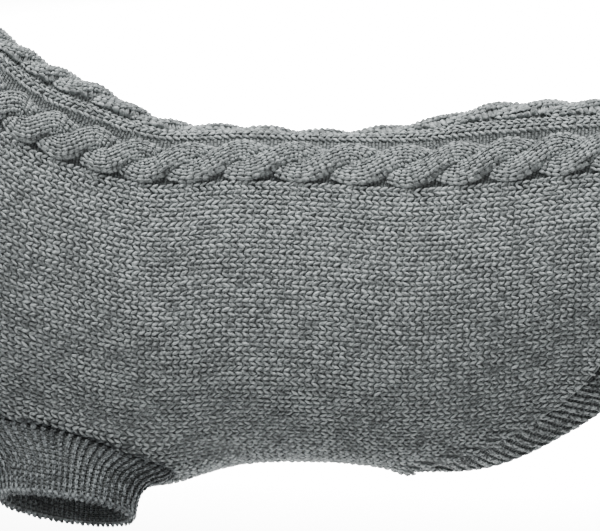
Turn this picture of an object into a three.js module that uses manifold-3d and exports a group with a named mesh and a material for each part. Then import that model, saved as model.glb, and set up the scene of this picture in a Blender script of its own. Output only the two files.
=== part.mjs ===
// Dog sweater, worn shape with nobody in it: a hollow knitted body, two rib sleeves, a rib collar and a rib hem.
// Millimetres. +X runs to the tail, +Z is up, and -Y is the wearer's left side.
// The origin lies on the inside of the cloth at the withers, where the sweater hangs on the back.
import * as THREE from 'three';
import { mergeVertices } from 'three/addons/utils/BufferGeometryUtils.js';
import Module from 'manifold-3d';

const wasm = await Module();
wasm.setup();

// Cloth
const WALL = 3.0;
const SEAM_GAP = 0.3;
const CURVED_SEAM_GAP = 0.8;
const EDGE_PUFF = 1.4;
const EDGE_PUFF_REACH = 11;

// Rings of the hollow body, from the tail to the neck seam. Each is an egg-shaped section through a back
// point and a belly point. half is its half width, widest the height of its widest place as a share from
// the belly, and roll the angle in degrees by which the spine pattern sits round to the left.
const RING_COLUMNS = ['backX', 'backZ', 'bellyX', 'bellyZ', 'half', 'widest', 'roll'];
const RINGS = [
  [305, 14, 305, -125, 50, 0.50, 22],
  [262, 19.5, 262, -141, 54, 0.54, 20],
  [215, 19, 215, -152, 55, 0.55, 21],
  [170, 16.5, 170, -165, 54, 0.50, 29],
  [130, 6.5, 130, -168, 53, 0.42, 18],
  [90, 1.5, 90, -165, 52, 0.38, 5],
  [45, 2, 45, -167.5, 53, 0.38, 6],
  [0, 3, 0, -179, 56, 0.43, 16],
  [-36, 20.5, -46, -177, 57, 0.48, 33],
  [-60, 31, -88, -156, 56, 0.50, 32],
  [-80, 43.5, -120, -119, 54, 0.50, 25],
  [-97, 55, -143, -77, 51, 0.50, 22],
  [-112, 64, -161, -33, 49, 0.50, 19],
  [-127, 73, -175, 9, 47, 0.50, 16],
];
const RING_STEPS = 30;
const ANGLE_STEPS = 90;
const SIDE_LINE = 80;

// Spine pattern, measured round the body from the spine. The lobes are the distances from the tail ring at
// which one strand of a cable after the other ends its way over the one before.
const BAND_HALF = 5.2;
const BAND_LIFT = 1.3;
const TROUGH_IN = 6.5;
const TROUGH_OUT = 32.5;
const TROUGH_DEPTH = 0.7;
const PATTERN_HALF = 35.5;
const CABLE_CENTRE = 19.5;
const LOBES = [
  -8, 16, 40, 64, 88.7, 113, 138.6, 165, 192.6, 220, 247.6,
  274, 300.6, 325, 349.5, 373, 395.5, 417, 438, 459, 480, 501,
];
const LOBE_END = 0.43;
const STRAND_SWING = 5.6;
const STRAND_HALF = 6.8;
const STRAND_RISE = 1.2;
const STRAND_CROWN = 3.2;
const PATTERN_COLUMNS = [0, 4.8, 6.5, 8.8, 14.1, 19.5, 24.9, 30.2, 32.5, 35.5];
const PATTERN_ROWS = 84;
const SIDE_COLUMNS = [0.12, 0.25, 0.38, 0.5, 0.61, 0.7, 0.77, 0.82, 0.862, 0.898, 0.926, 0.952, 0.977, 1];
const SIDE_ROWS = 32;
const INSIDE_ROWS = 28;

// Back and belly panels meet along a seam that lies out of sight under the body.
// along is the distance from the tail ring, and round the seam's place as a share of the half girth.
const SEAM_LINE = [
  { along: 0, round: 0.945 },
  { along: 250, round: 0.945 },
  { along: 298, round: 0.84 },
  { along: 402, round: 0.83 },
  { along: 600, round: 0.80 },
];

// Free edge of the hem, from the spine to the middle of the belly. x is the place along the body,
// and round its place round the body as a share of the half girth.
const HEM_EDGE = [
  { x: 295, round: 0 },
  { x: 292, round: 0.12 },
  { x: 283, round: 0.27 },
  { x: 269, round: 0.45 },
  { x: 255, round: 0.60 },
  { x: 236, round: 0.735 },
  { x: 216, round: 0.815 },
  { x: 191, round: 0.88 },
  { x: 163, round: 0.934 },
  { x: 147, round: 0.957 },
  { x: 141, round: 1 },
];
const HEM_WIDTH = 20;
const HEM_SKEW = 0.045;
const HEM_HALF_GIRTH = 220;

// Plain 1 x 1 ribs
const RIB_DEPTH = 1.3;
const HEM_RIBS = 116;
const COLLAR_RIBS = 78;
const SLEEVE_RIBS = 56;
const HEM_INSIDE_COLUMNS = 116;

// Collar
const COLLAR_LENGTH = 50;
const COLLAR_FLARE = 5;
const COLLAR_ROWS = 4;

// Sleeves. The armhole is an oval in the body's own surface, and the cuff an oval ring in space.
const ARMHOLE = { along: 350, round: 0.828, halfAlong: 52, halfRound: 20, slant: 0.2 };
const ARMHOLE_STEPS = 72;
const CUFF = { x: -40, side: 54, z: -180, halfX: 35, halfY: 26, splay: 33, tilt: 5 };
const SLEEVE_ROWS = 7;
const SLEEVE_ROOT = 2.6;
const SLEEVE_EASE = 26;

const degrees = (angle) => angle * Math.PI / 180;
const mix = (a, b, share) => a + (b - a) * share;
const clamp = (value, low, high) => Math.min(high, Math.max(low, value));

function lookUp(rows, key, value, at) {
  let k = 1;
  while (k < rows.length - 1 && rows[k][key] < at) k += 1;
  const share = clamp((at - rows[k - 1][key]) / (rows[k][key] - rows[k - 1][key]), 0, 1);
  return mix(rows[k - 1][value], rows[k][value], share);
}

// Body surface: smooth rings, measured along the side and round the section

function ringAt(place) {
  const index = Math.min(RINGS.length - 2, Math.floor(place));
  const f = place - index;
  const ring = {};
  RING_COLUMNS.forEach((name, c) => {
    const before = RINGS[Math.max(0, index - 1)][c];
    const a = RINGS[index][c];
    const b = RINGS[index + 1][c];
    const after = RINGS[Math.min(RINGS.length - 1, index + 2)][c];
    const pull = before * 2 - a * 5 + b * 4 - after;
    const swing = (a - b) * 3 + after - before;
    ring[name] = a + 0.5 * f * (b - before + f * (pull + f * swing));
  });
  return ring;
}

function sectionPoint(ring, angle) {
  const cos = Math.cos(angle);
  const height = cos > 0 ? mix(ring.widest, 1, cos) : ring.widest * (1 + cos);
  const x = mix(ring.bellyX, ring.backX, height);
  const z = mix(ring.bellyZ, ring.backZ, height);
  return new THREE.Vector3(x, -ring.half * Math.sin(angle), z);
}

function measureRing(place) {
  const ring = ringAt(place);
  const points = [];
  const arcs = [0];
  for (let k = 0; k <= ANGLE_STEPS; k += 1) {
    points.push(sectionPoint(ring, Math.PI * k / ANGLE_STEPS));
    if (k > 0) arcs.push(arcs[k - 1] + points[k].distanceTo(points[k - 1]));
  }
  const height = Math.hypot(ring.backX - ring.bellyX, ring.backZ - ring.bellyZ);
  const topRadius = ring.half ** 2 / (height * (1 - ring.widest));
  return { points, arcs, halfGirth: arcs[ANGLE_STEPS], shift: degrees(ring.roll) * topRadius };
}

function pointOnRing(measured, arc) {
  let k = 1;
  while (k < ANGLE_STEPS && measured.arcs[k] < arc) k += 1;
  const share = (arc - measured.arcs[k - 1]) / (measured.arcs[k] - measured.arcs[k - 1]);
  return measured.points[k - 1].clone().lerp(measured.points[k], share);
}

const body = [];
for (let step = 0; step <= (RINGS.length - 1) * RING_STEPS; step += 1) {
  const measured = measureRing(step / RING_STEPS);
  measured.side = pointOnRing(measured, SIDE_LINE);
  measured.along = step === 0 ? 0 : body[step - 1].along + measured.side.distanceTo(body[step - 1].side);
  body.push(measured);
}
const BODY_LENGTH = body[body.length - 1].along;

function bodySpan(along) {
  let low = 0;
  let high = body.length - 1;
  while (high - low > 1) {
    const middle = (low + high) >> 1;
    if (body[middle].along > along) high = middle;
    else low = middle;
  }
  return { a: body[low], b: body[high], share: (along - body[low].along) / (body[high].along - body[low].along) };
}

function halfGirth(along) {
  const { a, b, share } = bodySpan(along);
  return mix(a.halfGirth, b.halfGirth, share);
}

function spineShift(along) {
  const { a, b, share } = bodySpan(along);
  return mix(a.shift, b.shift, share);
}

// arc is measured from the top of the section, and is positive on the wearer's left.
function onBody(along, arc) {
  const { a, b, share } = bodySpan(along);
  const round = Math.abs(arc) / mix(a.halfGirth, b.halfGirth, share);
  const past = round > 1;
  const folded = past ? 2 - round : round;
  const point = pointOnRing(a, folded * a.halfGirth).lerp(pointOnRing(b, folded * b.halfGirth), share);
  if ((arc < 0) !== past) point.y = -point.y;
  return point;
}

const PROBE = 0.8;
function bodyNormal(along, arc) {
  const forward = onBody(along + PROBE, arc).sub(onBody(along - PROBE, arc));
  const round = onBody(along, arc + PROBE).sub(onBody(along, arc - PROBE));
  return forward.cross(round).normalize();
}

function liftedPoint(along, arc, lift) {
  return onBody(along, arc).addScaledVector(bodyNormal(along, arc), lift);
}

// Spine pattern: a smooth band, purl troughs, and a two-strand rope each side with the same twist

function lobeNumber(along) {
  let k = 1;
  while (k < LOBES.length - 1 && LOBES[k] < along) k += 1;
  return k - 1 + (along - LOBES[k - 1]) / (LOBES[k] - LOBES[k - 1]);
}

function ropeLift(along, across) {
  let highest = 0;
  for (const strand of [0, 1]) {
    const turn = Math.PI * (lobeNumber(along) + LOBE_END + strand);
    const offset = (across + STRAND_SWING * Math.cos(turn)) / STRAND_HALF;
    const crown = STRAND_CROWN * Math.sqrt(Math.max(0, 1 - offset ** 2));
    if (crown > 0) highest = Math.max(highest, crown + STRAND_RISE * Math.sin(turn));
  }
  return highest;
}

function patternLift(along, fromSpine) {
  const side = Math.abs(fromSpine);
  if (side < BAND_HALF) return BAND_LIFT * Math.sqrt(1 - (side / BAND_HALF) ** 2);
  const trough = Math.min(Math.abs(side - TROUGH_IN), Math.abs(side - TROUGH_OUT));
  const sunk = -TROUGH_DEPTH * Math.max(0, 1 - trough / 2);
  return sunk + ropeLift(along, fromSpine - Math.sign(fromSpine) * CABLE_CENTRE);
}

// Walls. A wall is a list of outer columns over a list of inner columns, and neighbours are zipped.

function columnShares(column) {
  const lengths = [0];
  for (let k = 1; k < column.length; k += 1) lengths.push(lengths[k - 1] + column[k].distanceTo(column[k - 1]));
  return lengths.map((length) => length / lengths[lengths.length - 1]);
}

function zip(triangles, a, b, turned) {
  const shareA = columnShares(a);
  const shareB = columnShares(b);
  let i = 0;
  let j = 0;
  while (i < a.length - 1 || j < b.length - 1) {
    const stepA = j === b.length - 1 || (i < a.length - 1 && shareA[i + 1] <= shareB[j + 1]);
    const corner = stepA ? a[i + 1] : b[j + 1];
    triangles.push(turned ? [a[i], corner, b[j]] : [a[i], b[j], corner]);
    if (stepA) i += 1;
    else j += 1;
  }
}

// A closed mesh from triangles that all turn the same way, with its faces pointing out
function closedGeometry(triangles) {
  const volume = triangles.reduce((sum, [p, q, r]) => sum + p.dot(q.clone().cross(r)), 0);
  const ordered = volume > 0 ? triangles : triangles.map(([p, q, r]) => [p, r, q]);
  const geometry = new THREE.BufferGeometry();
  const numbers = new Float32Array(ordered.flat().flatMap((point) => point.toArray()));
  geometry.setAttribute('position', new THREE.BufferAttribute(numbers, 3));
  return mergeVertices(geometry, 1e-4);
}

function wallGeometry(outer, inner, isTube) {
  const triangles = [];
  const closed = (list) => (isTube ? [...list, list[0]] : list);
  const outerColumns = closed(outer);
  const innerColumns = closed(inner);
  for (let k = 1; k < outerColumns.length; k += 1) zip(triangles, outerColumns[k - 1], outerColumns[k], false);
  for (let k = 1; k < innerColumns.length; k += 1) zip(triangles, innerColumns[k - 1], innerColumns[k], true);
  const first = (column) => column[0];
  const last = (column) => column[column.length - 1];
  zip(triangles, outerColumns.map(first), innerColumns.map(first), false);
  zip(triangles, innerColumns.map(last), outerColumns.map(last), false);
  if (!isTube) {
    zip(triangles, innerColumns[0], outerColumns[0], false);
    zip(triangles, last(outerColumns), last(innerColumns), false);
  }
  return closedGeometry(triangles);
}

function toManifold(geometry) {
  const vertProperties = new Float32Array(geometry.attributes.position.array);
  const triVerts = new Uint32Array(geometry.index.array);
  return new wasm.Manifold(new wasm.Mesh({ numProp: 3, vertProperties, triVerts }));
}

function fromManifold(solid) {
  const mesh = solid.getMesh();
  const geometry = new THREE.BufferGeometry();
  geometry.setAttribute('position', new THREE.BufferAttribute(new Float32Array(mesh.vertProperties), 3));
  geometry.setIndex(new THREE.BufferAttribute(new Uint32Array(mesh.triVerts), 1));
  return geometry;
}

// Hem line: the free edge and the seam edge, laid out in a flat plane of length against girth

function hemCurve() {
  const tail = RINGS[0][0];
  const flat = HEM_EDGE.map(({ x, round }) => new THREE.Vector3(tail - x, round * HEM_HALF_GIRTH, 0));
  return new THREE.CatmullRomCurve3(flat, false, 'centripetal');
}

const HEM_SAMPLES = 160;
const hemFree = hemCurve();
const hemLine = [];
for (let k = 0; k <= HEM_SAMPLES; k += 1) {
  const place = hemFree.getPointAt(k / HEM_SAMPLES);
  const way = hemFree.getTangentAt(k / HEM_SAMPLES);
  if (k === 0 || k === HEM_SAMPLES) way.set(0, 1, 0);
  hemLine.push({ along: place.x, across: place.y, inAlong: way.y, inAcross: -way.x });
}

function hemPoint(place, width) {
  const mirrored = place < 0;
  const at = Math.abs(place) * HEM_SAMPLES;
  const k = Math.min(HEM_SAMPLES - 1, Math.floor(at));
  const value = (name) => mix(hemLine[k][name], hemLine[k + 1][name], at - k);
  const along = value('along') + width * value('inAlong');
  const round = (value('across') + width * value('inAcross')) / HEM_HALF_GIRTH;
  return { along, round, arc: (mirrored ? -round : round) * halfGirth(along) };
}

const seamEdge = [];
for (let k = 0; k <= HEM_SAMPLES; k += 1) {
  seamEdge.push(hemPoint(k / HEM_SAMPLES, HEM_WIDTH + CURVED_SEAM_GAP));
}

// Where a lengthwise column, given by its arc at each place, crosses the hem seam
function hemStart(arcAt) {
  let along = seamEdge[0].along;
  for (let pass = 0; pass < 12; pass += 1) {
    const round = clamp(Math.abs(arcAt(along)) / halfGirth(along), 0, 1);
    along = mix(along, lookUp(seamEdge, 'round', 'along', round), 0.7);
  }
  return along;
}

// Panels

function puff(along, start) {
  const nearest = Math.min(along - start, BODY_LENGTH - along);
  return EDGE_PUFF * Math.exp(-((nearest / EDGE_PUFF_REACH) ** 2));
}

function panelColumn(arcAt, rows, liftAt) {
  const start = hemStart(arcAt);
  const column = [];
  for (let row = 0; row <= rows; row += 1) {
    const along = mix(start, BODY_LENGTH, row / rows);
    column.push(liftedPoint(along, arcAt(along), liftAt(along, start)));
  }
  return column;
}

const seamArc = (along, gapSide) => lookUp(SEAM_LINE, 'along', 'round', along) * halfGirth(along) + gapSide;

function backPanel() {
  const outer = [];
  const inner = [];
  const seam = (along) => seamArc(along, -SEAM_GAP / 2);
  const between = (sign, share) => (along) => {
    const edge = sign * PATTERN_HALF + spineShift(along);
    return mix(edge, sign * seam(along), share);
  };
  for (const share of [...SIDE_COLUMNS].reverse()) outer.push(panelColumn(between(-1, share), SIDE_ROWS, puff));
  const pattern = [...PATTERN_COLUMNS.slice(1).reverse().map((v) => -v), ...PATTERN_COLUMNS];
  for (const fromSpine of pattern) {
    const lift = (along, start) => patternLift(along, fromSpine) + puff(along, start);
    outer.push(panelColumn((along) => fromSpine + spineShift(along), PATTERN_ROWS, lift));
  }
  for (const share of SIDE_COLUMNS) outer.push(panelColumn(between(1, share), SIDE_ROWS, puff));
  const inside = (along, start) => puff(along, start) - WALL;
  for (const share of [...SIDE_COLUMNS].reverse()) inner.push(panelColumn(between(-1, share), INSIDE_ROWS, inside));
  for (const share of [-1, -0.5, 0, 0.5, 1]) {
    const fromSpine = share * PATTERN_HALF;
    inner.push(panelColumn((along) => fromSpine + spineShift(along), INSIDE_ROWS, inside));
  }
  for (const share of SIDE_COLUMNS) inner.push(panelColumn(between(1, share), INSIDE_ROWS, inside));
  return wallGeometry(outer, inner, false);
}

function bellyPanel() {
  const columns = 8;
  const seam = (along) => halfGirth(along) - seamArc(along, SEAM_GAP / 2);
  const layer = (offset, rows) => {
    const list = [];
    for (let k = 0; k <= columns; k += 1) {
      const share = 1 - 2 * k / columns;
      const arcAt = (along) => {
        const fromMiddle = share * seam(along);
        return fromMiddle >= 0 ? halfGirth(along) - fromMiddle : -halfGirth(along) - fromMiddle;
      };
      list.push(panelColumn(arcAt, rows, (along, start) => puff(along, start) + offset));
    }
    return list;
  };
  return wallGeometry(layer(0, SIDE_ROWS), layer(-WALL, INSIDE_ROWS), false);
}

// Hem rib: a band on the same surface, ribbed across, from the seam edge to the free edge. On the sides
// the ribs lean towards the tail, as the wales of the body do.

function hemRib() {
  const outer = [];
  const inner = [];
  const columns = HEM_RIBS * 2;
  const bandPoint = (place, width, lift) => {
    const lean = HEM_SKEW * Math.sin(Math.PI * place) * (1 - width / HEM_WIDTH);
    const { along, arc } = hemPoint(place - lean, width);
    return liftedPoint(along, arc, lift);
  };
  for (let k = 0; k < columns; k += 1) {
    const place = -1 + 2 * k / columns;
    const lift = k % 2 === 0 ? 0 : -RIB_DEPTH;
    outer.push([HEM_WIDTH, HEM_WIDTH / 2, 0].map((width) => bandPoint(place, width, lift)));
  }
  for (let k = 0; k < HEM_INSIDE_COLUMNS; k += 1) {
    const place = -1 + 2 * k / HEM_INSIDE_COLUMNS;
    inner.push([HEM_WIDTH, 0].map((width) => bandPoint(place, width, -WALL)));
  }
  return wallGeometry(outer, inner, true);
}

// Collar: the neck ring carried on straight along its own axis, with a small flare

function collar() {
  const neck = body[body.length - 1];
  const ring = ringAt(RINGS.length - 1);
  const across = new THREE.Vector3(ring.backX - ring.bellyX, 0, ring.backZ - ring.bellyZ).normalize();
  const axis = new THREE.Vector3(-across.z, 0, across.x);
  const middle = new THREE.Vector3(ring.backX + ring.bellyX, 0, ring.backZ + ring.bellyZ).multiplyScalar(0.5);
  const layer = (columns, rows, depthAt) => {
    const list = [];
    for (let k = 0; k < columns; k += 1) {
      const arc = mix(-neck.halfGirth, neck.halfGirth, k / columns);
      const root = onBody(BODY_LENGTH, arc);
      const outward = root.clone().sub(middle).normalize();
      const column = [];
      for (let row = 0; row <= rows; row += 1) {
        const share = row / rows;
        const flare = COLLAR_FLARE * share ** 2 - depthAt(k);
        const reach = mix(SEAM_GAP, COLLAR_LENGTH, share);
        column.push(root.clone().addScaledVector(axis, reach).addScaledVector(outward, flare));
      }
      list.push(column);
    }
    return list;
  };
  const ribs = layer(COLLAR_RIBS * 2, COLLAR_ROWS, (k) => (k % 2 === 0 ? 0 : RIB_DEPTH));
  return wallGeometry(ribs, layer(COLLAR_RIBS / 2, COLLAR_ROWS - 2, () => WALL), true);
}

// Sleeves

function armholeRing(sign, count) {
  const arcMiddle = ARMHOLE.round * halfGirth(ARMHOLE.along);
  const ring = [];
  for (let k = 0; k < count; k += 1) {
    const angle = 2 * Math.PI * k / count;
    const along = ARMHOLE.along + ARMHOLE.halfAlong * Math.cos(angle);
    const drift = ARMHOLE.slant * ARMHOLE.halfAlong * Math.cos(angle);
    const arc = arcMiddle + drift + ARMHOLE.halfRound * Math.sin(angle);
    const point = onBody(along, arc);
    ring.push(new THREE.Vector3(point.x, -sign * Math.abs(point.y), point.z));
  }
  return ring;
}

function middleOf(points) {
  const sum = points.reduce((total, point) => total.add(point), new THREE.Vector3());
  return sum.multiplyScalar(1 / points.length);
}

function armholeWay(sign) {
  const arc = sign * ARMHOLE.round * halfGirth(ARMHOLE.along);
  return bodyNormal(ARMHOLE.along, arc);
}

// The solid that opens the armhole: the armhole ring pushed straight through the wall
function armholeCutter(sign) {
  const reach = 40;
  const way = armholeWay(sign);
  const ring = armholeRing(sign, ARMHOLE_STEPS);
  const out = ring.map((point) => point.clone().addScaledVector(way, reach));
  const back = ring.map((point) => point.clone().addScaledVector(way, -reach));
  const outMiddle = middleOf(out);
  const backMiddle = middleOf(back);
  const columns = ring.map((point, k) => [outMiddle, out[k], back[k], backMiddle]);
  const triangles = [];
  columns.forEach((column, k) => {
    const next = columns[(k + 1) % columns.length];
    triangles.push([column[0], column[1], next[1]]);
    triangles.push([column[1], column[2], next[2]], [column[1], next[2], next[1]]);
    triangles.push([column[2], column[3], next[2]]);
  });
  return toManifold(closedGeometry(triangles));
}

function cuffRing(sign, count) {
  const splay = degrees(CUFF.splay);
  const centre = new THREE.Vector3(CUFF.x, -sign * CUFF.side, CUFF.z);
  const sideways = new THREE.Vector3(0, sign * Math.cos(splay), -Math.sin(splay));
  const tilt = degrees(CUFF.tilt);
  const headward = new THREE.Vector3(-Math.cos(tilt), 0, Math.sin(tilt));
  const ring = [];
  for (let k = 0; k < count; k += 1) {
    const angle = 2 * Math.PI * k / count;
    const point = centre.clone().addScaledVector(headward, CUFF.halfX * Math.cos(angle));
    ring.push(point.addScaledVector(sideways, CUFF.halfY * Math.sin(angle)));
  }
  return ring;
}

function sleeve(sign) {
  const layer = (count, rows, depthAt) => {
    const way = armholeWay(sign);
    const splay = degrees(CUFF.splay);
    const cuffWay = new THREE.Vector3(0, -sign * Math.sin(splay), -Math.cos(splay));
    const roots = armholeRing(sign, count);
    const cuffs = cuffRing(sign, count);
    const rootMiddle = middleOf(roots);
    const cuffMiddle = middleOf(cuffs);
    const list = [];
    for (let k = 0; k < count; k += 1) {
      const curve = (from, to) => new THREE.CubicBezierCurve3(
        from,
        from.clone().addScaledVector(way, SLEEVE_EASE / 2),
        to.clone().addScaledVector(cuffWay, -SLEEVE_EASE),
        to,
      );
      const skin = curve(roots[k], cuffs[k]);
      const core = curve(rootMiddle, cuffMiddle);
      const column = [];
      for (let row = -1; row < rows; row += 1) {
        const share = Math.max(0, row) / (rows - 1);
        const point = skin.getPoint(share);
        const inward = core.getPoint(share).sub(point);
        inward.addScaledVector(way, -inward.dot(way) * (1 - share)).normalize();
        point.addScaledVector(inward, SEAM_GAP + depthAt(k));
        if (row < 0) point.addScaledVector(way, -SLEEVE_ROOT);
        column.push(point);
      }
      list.push(column);
    }
    return list;
  };
  const ribs = layer(SLEEVE_RIBS * 2, SLEEVE_ROWS, (k) => (k % 2 === 0 ? 0 : RIB_DEPTH));
  return wallGeometry(ribs, layer(SLEEVE_RIBS / 2, SLEEVE_ROWS - 3, () => WALL), true);
}

function cutArmholes(geometry) {
  const solid = [1, -1].reduce((kept, sign) => kept.subtract(armholeCutter(sign)), toManifold(geometry));
  return fromManifold(solid);
}

// Finish of the wool: the body is a mid grey marl, and the ribs look a shade darker
const bodyWool = () => new THREE.MeshStandardMaterial({ color: 0x828787, roughness: 0.95, metalness: 0 });
const ribWool = () => new THREE.MeshStandardMaterial({ color: 0x767b7b, roughness: 0.95, metalness: 0 });

const sweater = new THREE.Group();

function add(name, geometry, material) {
  const mesh = new THREE.Mesh(geometry, material);
  mesh.name = name;
  sweater.add(mesh);
}

add('back_panel', cutArmholes(backPanel()), bodyWool());
add('belly_panel', cutArmholes(bellyPanel()), bodyWool());
add('sleeve_left', sleeve(1), ribWool());
add('sleeve_right', sleeve(-1), ribWool());
add('collar', collar(), ribWool());
add('hem_rib', hemRib(), ribWool());

export default sweater;
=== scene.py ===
# Dog sweater in its worn shape, with nobody in it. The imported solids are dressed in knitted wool: each
# piece of cloth is a soft shell on its solid's form, with its own stitches, purl bumps and loose fibres.
import math

import bpy
import numpy as np
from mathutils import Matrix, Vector


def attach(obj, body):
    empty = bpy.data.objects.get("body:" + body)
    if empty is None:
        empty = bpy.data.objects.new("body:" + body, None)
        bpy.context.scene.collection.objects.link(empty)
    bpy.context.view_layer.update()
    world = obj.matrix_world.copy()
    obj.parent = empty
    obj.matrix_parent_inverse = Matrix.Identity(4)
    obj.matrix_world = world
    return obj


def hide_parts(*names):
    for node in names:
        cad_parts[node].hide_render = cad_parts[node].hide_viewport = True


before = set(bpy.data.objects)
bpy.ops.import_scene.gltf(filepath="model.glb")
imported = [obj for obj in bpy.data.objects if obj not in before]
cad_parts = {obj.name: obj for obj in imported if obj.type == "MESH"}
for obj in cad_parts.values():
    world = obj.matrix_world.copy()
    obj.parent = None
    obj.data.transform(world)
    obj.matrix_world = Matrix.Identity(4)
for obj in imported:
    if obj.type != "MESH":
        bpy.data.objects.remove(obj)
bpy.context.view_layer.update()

bl_info = {
    "name": "Knitted dog sweater",
    "version": (1, 0, 0),
    "blender": (4, 5, 0),
    "location": "3D View > Sidebar > Sweater",
    "description": "Dresses the solids of a dog sweater in cable knit, stocking stitch and rib",
    "category": "Object",
}

BODY = "root"
MM = 0.001

# Sizes below are in millimetres. +X runs to the tail, +Z is up and -Y is the wearer's left side.

# Rings of the hollow body, from the tail to the neck seam, as in the solids:
# back x, back z, belly x, belly z, half width, widest place as a share of the height, roll of the spine
RINGS = [
    (305, 14, 305, -125, 50, 0.50, 22),
    (262, 19.5, 262, -141, 54, 0.54, 20),
    (215, 19, 215, -152, 55, 0.55, 21),
    (170, 16.5, 170, -165, 54, 0.50, 29),
    (130, 6.5, 130, -168, 53, 0.42, 18),
    (90, 1.5, 90, -165, 52, 0.38, 5),
    (45, 2, 45, -167.5, 53, 0.38, 6),
    (0, 3, 0, -179, 56, 0.43, 16),
    (-36, 20.5, -46, -177, 57, 0.48, 33),
    (-60, 31, -88, -156, 56, 0.50, 32),
    (-80, 43.5, -120, -119, 54, 0.50, 25),
    (-97, 55, -143, -77, 51, 0.50, 22),
    (-112, 64, -161, -33, 49, 0.50, 19),
    (-127, 73, -175, 9, 47, 0.50, 16),
]
# Steps between two rings, over the angle of half a ring, and over the length of half a ring
RING_STEPS = 30
ANGLE_STEPS = 90
ROUND_STEPS = 180
# Arc from the top to the line on which distances from the tail ring are measured
SIDE_LINE = 80

# Cloth. A puff is how far the cloth stands out at an edge, and the ground lies sunk under the stitches.
WALL = 3.0
SEAM_GAP = 0.3
CURVED_SEAM_GAP = 0.8
EDGE_PUFF = 2.4
NECK_PUFF = 0.6
EDGE_PUFF_REACH = 9
PATTERN_FADE = 8
GROUND_SINK = 0.7
# How far stitches run past the cloth's seams, so that no bare ground shows there
STITCH_START = -1.4
STITCH_END = 0.8
STITCH_SIDE = 1.0
STITCH_ARMHOLE = 1.02

# Stocking stitch. A leg's spread is how far its foot and head stand from the wale's middle, as shares of
# the wale's width.
WALE = 4.9
COURSE = 3.45
COURSE_ANCHOR = 170
LEG_HALF = 0.76
LEG_HEIGHT = 0.74
LEG_SINK = 0.75
LEG_ARCH = 0.68
LEG_SPREAD = (0.07, 0.42)
LEG_REACH = 1.17
# Small differences between legs: places and lift in millimetres, lean in radians, sizes as shares
STRAY_ALONG = 0.26
STRAY_ACROSS = 0.2
STRAY_LIFT = 0.22
STRAY_LEAN = 0.13
STRAY_LENGTH = 0.1
STRAY_HALF = 0.16
STRAY_HEIGHT = 0.12

# Back panel: wales and shell columns on each side of the spine pattern, shell columns in the pattern,
# and the distance from the tail ring that parts the rear stitches from the fore ones
SIDE_WALES = 48
SIDE_COLUMNS = 18
PATTERN_COLUMNS = 46
REAR_END = 205

# Spine pattern. The lobes are the distances from the tail ring at which one strand of a cable after the
# other ends its way over the one before.
BAND_HALF = 5.2
BAND_LIFT = 1.9
TROUGH_IN = 6.5
TROUGH_OUT = 32.4
TROUGH_HALF = 1.8
TROUGH_DEPTH = 1.9
PATTERN_HALF = 31.6
CABLE_CENTRE = 19.8
LOBES = [
    -8, 16, 40, 64, 88.7, 113, 138.6, 165, 192.6, 220, 247.6,
    274, 300.6, 325, 349.5, 373, 395.5, 417, 438, 459, 480, 501,
]
LOBE_END = 0.43
STRAND_SWING = 5.7
STRAND_HALF = 6.6
STRAND_RISE = 1.5
STRAND_CROWN = 3.3
STRAND_WALES = (-4.95, -1.65, 1.65, 4.95)
STRAND_WALE = 3.3
STRAND_COURSE = 2.8
STRAND_SPREAD = (0.17, 0.33)
TUCK = 3.8
TUCK_REACH = 1.9
ROPE_SINK = 0.3

# Underside seam: distance from the tail ring, and its place as a share of the half girth
SEAM_LINE = [(0, 0.945), (250, 0.945), (298, 0.84), (402, 0.83), (600, 0.80)]

# Free edge of the hem: place along the body, and round the body as a share of the half girth
HEM_EDGE = [
    (295, 0), (292, 0.12), (283, 0.27), (269, 0.45), (255, 0.60), (236, 0.735),
    (216, 0.815), (191, 0.88), (163, 0.934), (147, 0.957), (141, 1),
]
HEM_WIDTH = 20
# How far the ribs lean round the body from seam to edge, as a share of the half girth
HEM_SKEW = 0.045
HEM_HALF_GIRTH = 220
HEM_SAMPLES = 160

# Ribs. A pitch is the width of one rib, and a leg's half width is a share of it.
RIB_DEPTH = 1.3
HEM_RIBS = 116
COLLAR_RIBS = 78
SLEEVE_RIBS = 56
HEM_PITCH = 4.9
COLLAR_PITCH = 3.75
SLEEVE_PITCH = 3.7
RIB_SPREAD = (0.05, 0.17)
RIB_LEG = 0.2
RIB_COURSE = 3.0
CUFF_INSIDE = 26
# Painted shade in the grooves between the ribs: tone of the ground there against the ground elsewhere
RIB_GROOVE_PAINTED_SHADE = 0.55
HEM_GROOVE_PAINTED_SHADE = 0.8
# Rows of the chain on a free edge: distance in from the edge, depth below the surface, and lean
CHAIN_ROWS = [(0.7, 0.6, 0.35), (0.1, 1.4, -0.3), (0.6, 2.5, 0.3)]

# Collar
COLLAR_LENGTH = 50
COLLAR_FLARE = 5

# Sleeves. The armhole's middle is a distance from the tail ring and a share of the half girth.
ARMHOLE_ALONG = 350
ARMHOLE_ROUND = 0.828
ARMHOLE_HALF_ALONG = 52
ARMHOLE_HALF_ROUND = 20
ARMHOLE_SLANT = 0.2
ARMHOLE_STITCHES = 66
ARMHOLE_PITCH = 3.75
ARMHOLE_PUFF = 3.2
ARMHOLE_PUFF_REACH = 8
CUFF_X = -40
CUFF_SIDE = 54
CUFF_Z = -180
CUFF_HALF_X = 35
CUFF_HALF_Y = 26
CUFF_SPLAY = 33
CUFF_TILT = 5
SLEEVE_ROOT = 2.6
SLEEVE_EASE = 26
SLEEVE_LENGTH = 44

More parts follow.
